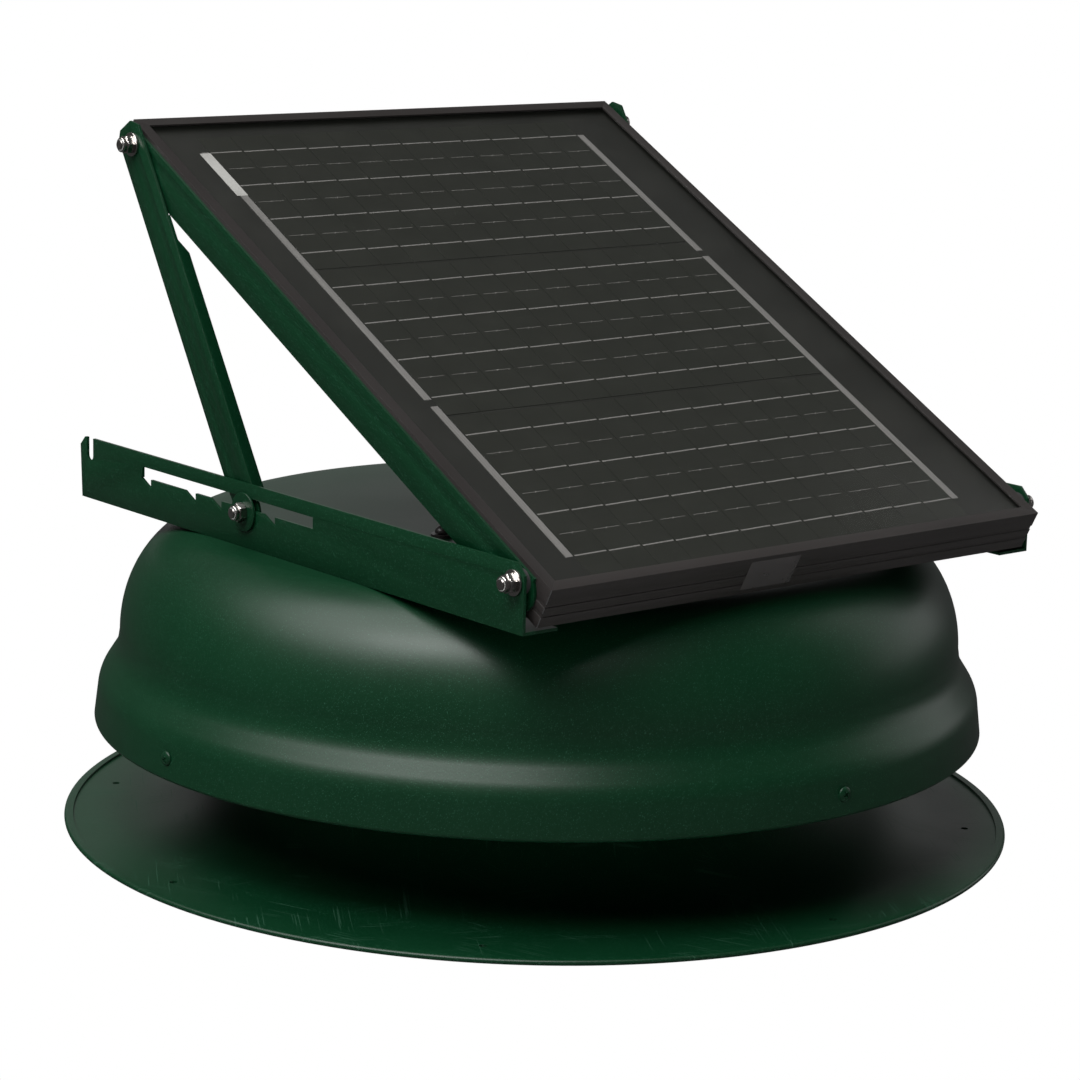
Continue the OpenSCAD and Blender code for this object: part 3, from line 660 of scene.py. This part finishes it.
screen = bmesh.new()
for i in range(UPRIGHTS):
    turn = Matrix.Rotation(2 * math.pi * i / UPRIGHTS, 4, "Z")
    join(screen, rod(WIRE_R, screen_low.z, screen_high.z, 6), turn @ Matrix.Translation((screen_r, 0, 0)))
for k in range(HOOPS):
    z = screen_low.z + WIRE_R + (screen_high.z - screen_low.z - 2 * WIRE_R) * k / (HOOPS - 1)
    join(screen, turned(arc((screen_r, z), WIRE_R, 0, 300, 5), UPRIGHTS))
remake("welded_wire_screen", "bird_screen", screen, crease=80)
print("screen wires:", UPRIGHTS, "hoops:", HOOPS)

# %% [markdown]
# ## Folded sheet parts
# Rails, struts, side brackets and legs are cut and folded from sheet. Their shapes are right in the
# frame already, so only the edges are eased, by less than half a sheet's thickness. The fan, the
# motor and the small mouldings get the same treatment with a width to suit.

# %% Ease the edges
FOLD_EASE = 0.45 * MM
CAST_EASE = 0.8 * MM
BLADE_EASE = 0.3 * MM
for name in ("rail_left", "rail_right", "strut_left", "strut_right", "side_bracket_left",
             "side_bracket_right", "hood_legs", "motor_plate"):
    eased(name, FOLD_EASE)
for name in ("motor_can", "motor_end_cap", "fan_hub", "junction_box", "junction_box_lid",
             "motor_isolators", "cable_gland", "box_gland"):
    eased(name, CAST_EASE)
for name in sorted(n for n in nodes if n.startswith("fan_blade")):
    eased(name, BLADE_EASE)
print("eased the folded and moulded parts")

# %% [markdown]
# ## Panel frame
# Four mitred bars. The bars were anodised before they were cut, so the saw left bright metal at the
# ends, and it shows as a thin line down each corner. Those edges are eased first and take a second
# material; every other edge keeps the black skin.


# %% Panel frame
SAW_EASE = 0.4 * MM
SKIN_EASE = 0.25 * MM
SAME_PLACE = 0.2 * MM


def frame_bar(node, skin):
    bm = shape_of(node)
    flat = {vert: slope.inverted() @ vert.co for vert in bm.verts}
    outer = max(abs(place.x) for place in flat.values())

    def at_corner(edge):
        """True for an edge that runs square to the glass, at a corner of the panel."""
        one, two = (flat[vert] for vert in edge.verts)
        square = (one - two).xy.length < SAME_PLACE
        near_end = min(abs(one.y - panel_low), abs(one.y - panel_high)) < SAME_PLACE
        return square and near_end and abs(abs(one.x) - outer) < SAME_PLACE

    saw_cuts = [edge for edge in bm.edges if at_corner(edge)]
    ease(bm, saw_cuts, SAW_EASE, material=1)
    skin_edges = [e for e in corners(bm) if all(f.material_index == 0 for f in e.link_faces)]
    ease(bm, skin_edges, SKIN_EASE, material=0)
    remake(node + "_mitred", node, bm, [skin, aluminium])
    return len(saw_cuts)


def on_slope(node):
    """Lowest and highest distance up the slope that a part reaches."""
    reach = [(slope.inverted() @ v.co).y for v in nodes[node].data.vertices]
    return min(reach), max(reach)


panel_low = on_slope("frame_front")[0]
panel_high = on_slope("frame_back")[1]
for node, skin in (("frame_front", anodised_across), ("frame_back", anodised_across),
                   ("frame_left", anodised_along), ("frame_right", anodised_along)):
    print(node, "saw-cut edges:", frame_bar(node, skin))

# %% [markdown]
# ## Glass and the wires under it
# Each cell is crossed by four bright tabbing wires, with fainter printed lines between them. They
# are real strips, a tenth of a millimetre thick, lying on the cells. The glass is lifted by the
# same amount so that the strips have room.

# %% Glass
laminate = [slope.inverted() @ v.co for v in nodes["glass"].data.vertices]
glass_low = Vector(min(v[k] for v in laminate) for k in range(3))
glass_high = Vector(max(v[k] for v in laminate) for k in range(3))
WIRE_ROOM = 0.15 * MM
GLASS_EASE = 0.3 * MM


def slab(low, high):
    """A box between two corners, on the panel's slope."""
    bm = bmesh.new()
    size = high - low
    bmesh.ops.create_cube(bm, size=1, matrix=slope @ Matrix.Translation((low + high) / 2)
                          @ Matrix.Diagonal((size.x, size.y, size.z, 1)))
    return bm


pane = slab(glass_low + Vector((0, 0, WIRE_ROOM)), glass_high)
ease(pane, corners(pane), GLASS_EASE)
remake("glass_pane", "glass", pane)

# %% Tabbing wires
cells = [slope.inverted() @ v.co for v in nodes["solar_cells"].data.vertices]
cells_low = Vector(min(v[k] for v in cells) for k in range(3))
cells_high = Vector(max(v[k] for v in cells) for k in range(3))
CELLS = 12
STRINGS = 3
STRING_PITCH = 159 * MM
CELL_GAP = 0.43 * MM
CELL_PITCH = (cells_high.x - cells_low.x + CELL_GAP) / CELLS
TAB_PITCH = 39.9 * MM
TAB_W = 1.1 * MM
TAB_SLANT = 0.5 * MM
DASH_W = 0.35 * MM
DOT = (1.7 * MM, 0.9 * MM)
TAB_T = 0.08 * MM


def strip(x0, x1, u, width, slant=0.0):
    """A flat strip on the cells, along the panel's width."""
    bm = slab(Vector((x0, u - width / 2, cells_high.z)), Vector((x1, u + width / 2, cells_high.z + TAB_T)))
    for vert in bm.verts:
        local = slope.inverted() @ vert.co
        local.y += slant * ((local.x - x0) / (x1 - x0) - 0.5)
        vert.co = slope @ local
    return bm


tabs = bmesh.new()
prints = bmesh.new()
for string in range(STRINGS):
    centre = (cells_low.y + cells_high.y) / 2 + (string - (STRINGS - 1) / 2) * STRING_PITCH
    for cell in range(CELLS):
        left = cells_low.x + cell * CELL_PITCH
        middle_x = left + CELL_PITCH / 2
        for line in range(4):
            u = centre + (line - 1.5) * TAB_PITCH
            join(tabs, strip(left + 0.4 * MM, left + CELL_PITCH - 1.4 * MM, u, TAB_W, TAB_SLANT))
        for line in range(3):
            u = centre + (line - 1) * TAB_PITCH
            join(prints, strip(middle_x - 10 * MM, middle_x + 10 * MM, u, DASH_W))
            join(prints, strip(middle_x - DOT[0] / 2, middle_x + DOT[0] / 2, u, DOT[1], DOT[1]))
add_piece("tabbing_wires", tabs, [ribbon_tin], "panel")
add_piece("printed_contacts", prints, [ribbon_tin], "panel")
print("cells:", CELLS * STRINGS, "pitch", round(CELL_PITCH / MM, 2), "mm")

# %% [markdown]
# ## Stickers
# Two stickers without any words: a pale one under the glass at the top of the left ribbon, and a
# dark film on the front bar.

# %% Stickers
RIBBON_STICKER_X = (-173 * MM, -164.5 * MM)
RIBBON_STICKER_U = (395 * MM, 446 * MM)
RIBBON_STICKER_RISE = (0.01 * MM, 0.1 * MM)
ribbon_sticker = slab(*(Vector((x, u, cells_high.z + rise)) for x, u, rise in
                        zip(RIBBON_STICKER_X, RIBBON_STICKER_U, RIBBON_STICKER_RISE)))
add_piece("ribbon_sticker", ribbon_sticker, [sticker_paper], "panel")
BAR_STICKER_X = (-47.5 * MM, -6.5 * MM)
BAR_STICKER_V = (-14 * MM, 7.5 * MM)
FILM_OUT = 0.15 * MM
FILM_IN = 0.05 * MM
film = slab(Vector((BAR_STICKER_X[0], panel_low - FILM_OUT, BAR_STICKER_V[0])),
            Vector((BAR_STICKER_X[1], panel_low + FILM_IN, BAR_STICKER_V[1])))
add_piece("bar_sticker", film, [sticker_film], "panel")
print("stickers placed")

# %% [markdown]
# ## Lock nuts, washers and studs
# The linkage is held by quarter-inch studs with nylon-insert lock nuts. A hexagon with chamfered
# corners is a cone cut by six flats: for each direction the radius is the smaller of the two, which
# gives the curved chamfer lines of a real nut. The round collar above it holds the nylon ring.

# %% Nut
NUT_FLATS = 11.1 * MM
HEX_H = 5 * MM
NUT_H = 8 * MM
STUD_R = 3.175 * MM
THREAD_PITCH = 1.27 * MM
STUD_STANDS_OUT = 1.2 * MM
STUD_HEAD = (4.6 * MM, 1 * MM)


def hex_radius(angle):
    return NUT_FLATS / 2 / math.cos((angle + math.pi / 6) % (math.pi / 3) - math.pi / 6)


def hexagon(steps=96):
    """A chamfered hexagon block, from height 0 to HEX_H."""
    corner = NUT_FLATS / 2 / math.cos(math.pi / 6)
    levels = [(0, NUT_FLATS / 2 - 0.1 * MM), (0.15 * MM, NUT_FLATS / 2 + 0.25 * MM), (0.45 * MM, corner),
              (HEX_H - 0.6 * MM, corner), (HEX_H - 0.3 * MM, NUT_FLATS / 2 + 0.35 * MM),
              (HEX_H, NUT_FLATS / 2 - 0.1 * MM)]
    bm = bmesh.new()
    loops = []
    for z, limit in levels:
        ring = []
        for i in range(steps):
            angle = 2 * math.pi * i / steps
            r = min(hex_radius(angle), limit)
            ring.append(bm.verts.new((r * math.cos(angle), r * math.sin(angle), z)))
        loops.append(ring)
    for low, high in zip(loops, loops[1:]):
        for i in range(steps):
            n = (i + 1) % steps
            bm.faces.new((low[i], low[n], high[n], high[i]))
    bm.faces.new(loops[0])
    bm.faces.new(loops[-1])
    return bm


def lock_nut():
    bm = hexagon()
    collar_r = NUT_FLATS / 2 - 0.6 * MM
    lip = NUT_H - 0.5 * MM
    join(bm, turned([(STUD_R, HEX_H - 0.2 * MM), (collar_r, HEX_H - 0.2 * MM), (collar_r, lip - 0.6 * MM)]
                    + arc((collar_r - 0.9 * MM, lip - 0.4 * MM), 0.9 * MM, 0, 90, 6)
                    + [(STUD_R + 0.9 * MM, NUT_H - 0.1 * MM), (STUD_R + 0.9 * MM, NUT_H - 1 * MM),
                       (STUD_R, NUT_H - 1 * MM)], 64))
    metal_faces = len(bm.faces)
    join(bm, turned([(STUD_R - 0.1 * MM, NUT_H - 1.2 * MM), (STUD_R + 0.95 * MM, NUT_H - 1.2 * MM),
                     (STUD_R + 0.95 * MM, NUT_H - 0.5 * MM), (STUD_R - 0.1 * MM, NUT_H - 0.4 * MM)], 48))
    bm.faces.ensure_lookup_table()
    for face in bm.faces[metal_faces:]:
        face.material_index = 1
    return bm


# %% Washer and stud
def washer(radius, thickness):
    edge = min(0.35 * MM, thickness / 3)
    return turned(
        [(STUD_R, 0)] + arc((radius - edge, edge), edge, -90, 0, 4)
        + arc((radius - edge, thickness - edge), edge, 0, 90, 4) + [(STUD_R, thickness)], 96)


def stud(length, threaded):
    """A stud from height 0 to length; its last stretch is threaded and its end is dimpled."""
    side = [(STUD_R, 0), (STUD_R, length - threaded)]
    z = length - threaded
    while z < length - 0.9 * MM:
        side += [(STUD_R, z + 0.1 * MM), (STUD_R - 0.62 * MM, z + 0.6 * MM), (STUD_R, z + 1.1 * MM)]
        z += THREAD_PITCH
    end = [(STUD_R - 0.7 * MM, length - 0.1 * MM), (STUD_R - 1 * MM, length), (1.1 * MM, length),
           (0, length - 0.5 * MM)]
    return turned([(0, 0)] + side + end, 64)


def clinched_head(neck):
    """The flush head of a stud pressed into sheet, with a short neck behind it."""
    radius, thick = STUD_HEAD
    return turned([(0, 0), (radius - 0.2 * MM, 0), (radius, 0.2 * MM), (radius, thick),
                   (STUD_R, thick), (STUD_R, neck), (0, neck)], 64)


# %% Fit the hardware
def outwards(side, x, y, z):
    """Stands a turned part on its side: its axis points away from the panel."""
    return Matrix.Translation((side * x, y, z)) @ Matrix.Rotation(side * math.pi / 2, 4, "Y")


def fit(name, bm, matrix, finishes, node):
    bm.transform(matrix)
    return remake(name, node, bm, finishes, crease=28)


SEAT_GAP = 0.1 * MM
WASHER_T = 1.6 * MM
WASHER_R = 7.95 * MM
FENDER_R = 12.7 * MM
THREADED = 4 * MM
stud_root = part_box("frame_right")[1].x
hinge_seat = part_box("rail_right")[1].x + SEAT_GAP
pivot_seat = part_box("strut_right")[1].x + SEAT_GAP
foot_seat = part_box("foot_washer_right")[0].x
nut_turns = {"hinge": 0.35, "pivot": 0.1, "foot": 0.62}
for side, hand in ((-1, "left"), (1, "right")):
    for spot, seat, at in (("hinge", hinge_seat, hinge), ("pivot", pivot_seat, pivot)):
        spin = Matrix.Rotation(nut_turns[spot], 4, "Z")
        fit(f"{spot}_washer_{hand}", washer(WASHER_R, WASHER_T), outwards(side, seat, at.y, at.z),
            [stainless], "bracket_washers")
        fit(f"{spot}_nut_{hand}", lock_nut(), outwards(side, seat + WASHER_T, at.y, at.z) @ spin,
            [stainless, insert_nylon], "bracket_nuts")
        length = seat + WASHER_T + NUT_H + STUD_STANDS_OUT - stud_root
        fit(f"{spot}_stud_{hand}", stud(length, THREADED), outwards(side, stud_root, at.y, at.z),
            [stainless], "bracket_studs")
        fit(f"{spot}_stud_head_{hand}", clinched_head(SHEET), outwards(side, stud_root, at.y, at.z),
            [stainless], "bracket_studs")
    spin = Matrix.Rotation(nut_turns["foot"], 4, "Z")
    fit(f"foot_fender_washer_{hand}", washer(FENDER_R, WASHER_T), outwards(side, foot_seat, foot.y, foot.z),
        [green_coat], f"foot_washer_{hand}")
    fit(f"foot_lock_nut_{hand}", lock_nut(), outwards(side, foot_seat + WASHER_T, foot.y, foot.z) @ spin,
        [stainless, insert_nylon], f"foot_nut_{hand}")
    length = WASHER_T + NUT_H + STUD_STANDS_OUT
    fit(f"foot_stud_end_{hand}", stud(length, THREADED), outwards(side, foot_seat, foot.y, foot.z),
        [stainless], f"foot_stud_{hand}")
    strut_inner = pivot_seat - SEAT_GAP - SHEET
    fit(f"foot_stud_head_{hand}", clinched_head(SHEET), outwards(side, strut_inner, foot.y, foot.z),
        [stainless], f"foot_stud_{hand}")
    print(hand, "hardware fitted; strut's inner face at", round(strut_inner / MM, 1), "mm")

# %% [markdown]
# ## Rim screws
# Four painted pan-head screws hold the skirt to its legs. The head is a low dome with a cross
# recess. The two arms of the cross are cut one after the other.

# %% Rim screws
screw_low, screw_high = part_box("rim_screws")
screw_z = (screw_low.z + screw_high.z) / 2
HEAD_R = (screw_high.z - screw_low.z) / 2
HEAD_T = 2.3 * MM
RECESS = (4.6 * MM, 0.9 * MM, 2.6 * MM, 1)
HEAD_TURN = 0.5
face_r = skirt_r(screw_z)
head = turned([(0, -3 * MM), (2 * MM, -3 * MM), (2 * MM, 0.1 * MM), (HEAD_R, 0.1 * MM), (HEAD_R, 0.5 * MM)]
              + arc((0, 0.5 * MM), (HEAD_R, HEAD_T - 0.5 * MM), 0, 90, 10)[1:], 48)
pattern = add_piece("rim_screw_front", head, [green_coat], "root")
for turn in (0, math.pi / 2):
    wedge = bmesh.new()
    across = Matrix.Rotation(turn, 4, "Z") @ Matrix.Translation((0, 0, HEAD_T))
    bmesh.ops.create_cube(wedge, size=1, matrix=across @ Matrix.Diagonal(RECESS))
    cut(pattern, wedge)
for i, name in enumerate(("front", "right", "back", "left")):
    shape = bmesh.new()
    shape.from_mesh(pattern.data)
    quarter = Matrix.Rotation(math.pi / 2 * (i - 1), 4, "Z")
    shape.transform(quarter @ outwards(1, face_r, 0, screw_z) @ Matrix.Rotation(HEAD_TURN, 4, "Z"))
    add_piece(f"rim_screw_{name}_head", shape, [green_coat], "root", ["rim_screws"])
bpy.data.objects.remove(pattern)
print("rim screws at radius", round(face_r / MM, 1), "mm")

# %% [markdown]
# ## Stage and light
# A broad, soft key light comes from high on the left. A wide softbox at the front draws the bright
# band along the hood's step, a faint one on the right lifts that side, and one behind gives the
# dome's top its sheen. The white floor bounces light up from below, but it is neither seen nor
# mirrored, and the sky is dim where it lights the fan, so that the dark paint keeps its depth.

# %% Floor
FLOOR_R = 60.0
FLOOR_Z = -0.2 * MM
ground = bmesh.new()
bmesh.ops.create_circle(ground, cap_ends=True, segments=96, radius=FLOOR_R,
                        matrix=Matrix.Translation((0, 0, FLOOR_Z)))
floor_mesh = bpy.data.meshes.new("floor")
ground.to_mesh(floor_mesh)
ground.free()
floor = bpy.data.objects.new("floor", floor_mesh)
floor_paper = Finish("floor_paper", {"Roughness": 0.9})
fibres = floor_paper.cloud(floor_paper.place(), 3.0, 4.0)
floor_paper.wear({"Base Color": floor_paper.tint(fibres, rgb(238, 238, 238), rgb(242, 242, 242))})
floor_mesh.materials.append(floor_paper.material)
floor.visible_glossy = False
floor.visible_camera = False
bpy.context.scene.collection.objects.link(floor)

# %% Lights
AIM_AT = Vector((0, 0, 0.15))
KEY_STRENGTH = 4.6
KEY_SPREAD = math.radians(60)
KEY_FROM = Vector((-0.42, 0.13, 0.90))


def softbox(name, at, size, power, seen=True):
    """A soft rectangular light that faces the hood; an unseen one is hidden from the camera."""
    lamp = bpy.data.lights.new(name, "AREA")
    lamp.shape = "RECTANGLE"
    lamp.size, lamp.size_y = size
    lamp.energy = power
    box = bpy.data.objects.new(name, lamp)
    aim = AIM_AT - Vector(at)
    box.matrix_world = Matrix.Translation(at) @ aim.to_track_quat("-Z", "Y").to_matrix().to_4x4()
    box.visible_camera = seen
    bpy.context.scene.collection.objects.link(box)


key = bpy.data.lights.new("key", "SUN")
key.energy = KEY_STRENGTH
key.angle = KEY_SPREAD
key_lamp = bpy.data.objects.new("key", key)
key_lamp.matrix_world = (-KEY_FROM).to_track_quat("-Z", "Y").to_matrix().to_4x4()
bpy.context.scene.collection.objects.link(key_lamp)
softbox("right_box", (2.4, -0.6, 1.1), (1.6, 2.0), 12)
softbox("front_box", (-1.22, -0.58, 1.85), (1.6, 0.5), 34)
softbox("back_box", (1.6, 2.2, 0.9), (3.0, 1.2), 3.5, seen=False)

# %% Sky
SKY_LIGHT = 0.07
SKY_SEEN = 1.0
world = bpy.data.worlds.new("sky")
bpy.context.scene.world = world
world.use_nodes = True
sky = world.node_tree
path = sky.nodes.new("ShaderNodeLightPath")
shade = sky.nodes.new("ShaderNodeMapRange")
shade.inputs["To Min"].default_value = SKY_LIGHT
shade.inputs["To Max"].default_value = SKY_SEEN
sky.links.new(path.outputs["Is Camera Ray"], shade.inputs["Value"])
sky.links.new(shade.outputs["Result"], sky.nodes["Background"].inputs["Strength"])
sky.nodes["Background"].inputs["Color"].default_value = (1, 1, 1, 1)
print("lights ready")

# %% [markdown]
# ## Colour as it is measured
# The plain display transform keeps the paint's own green: a filmic one would wash it out.

# %% Display
bpy.context.scene.view_settings.view_transform = "Standard"
print("display:", bpy.context.scene.view_settings.view_transform)
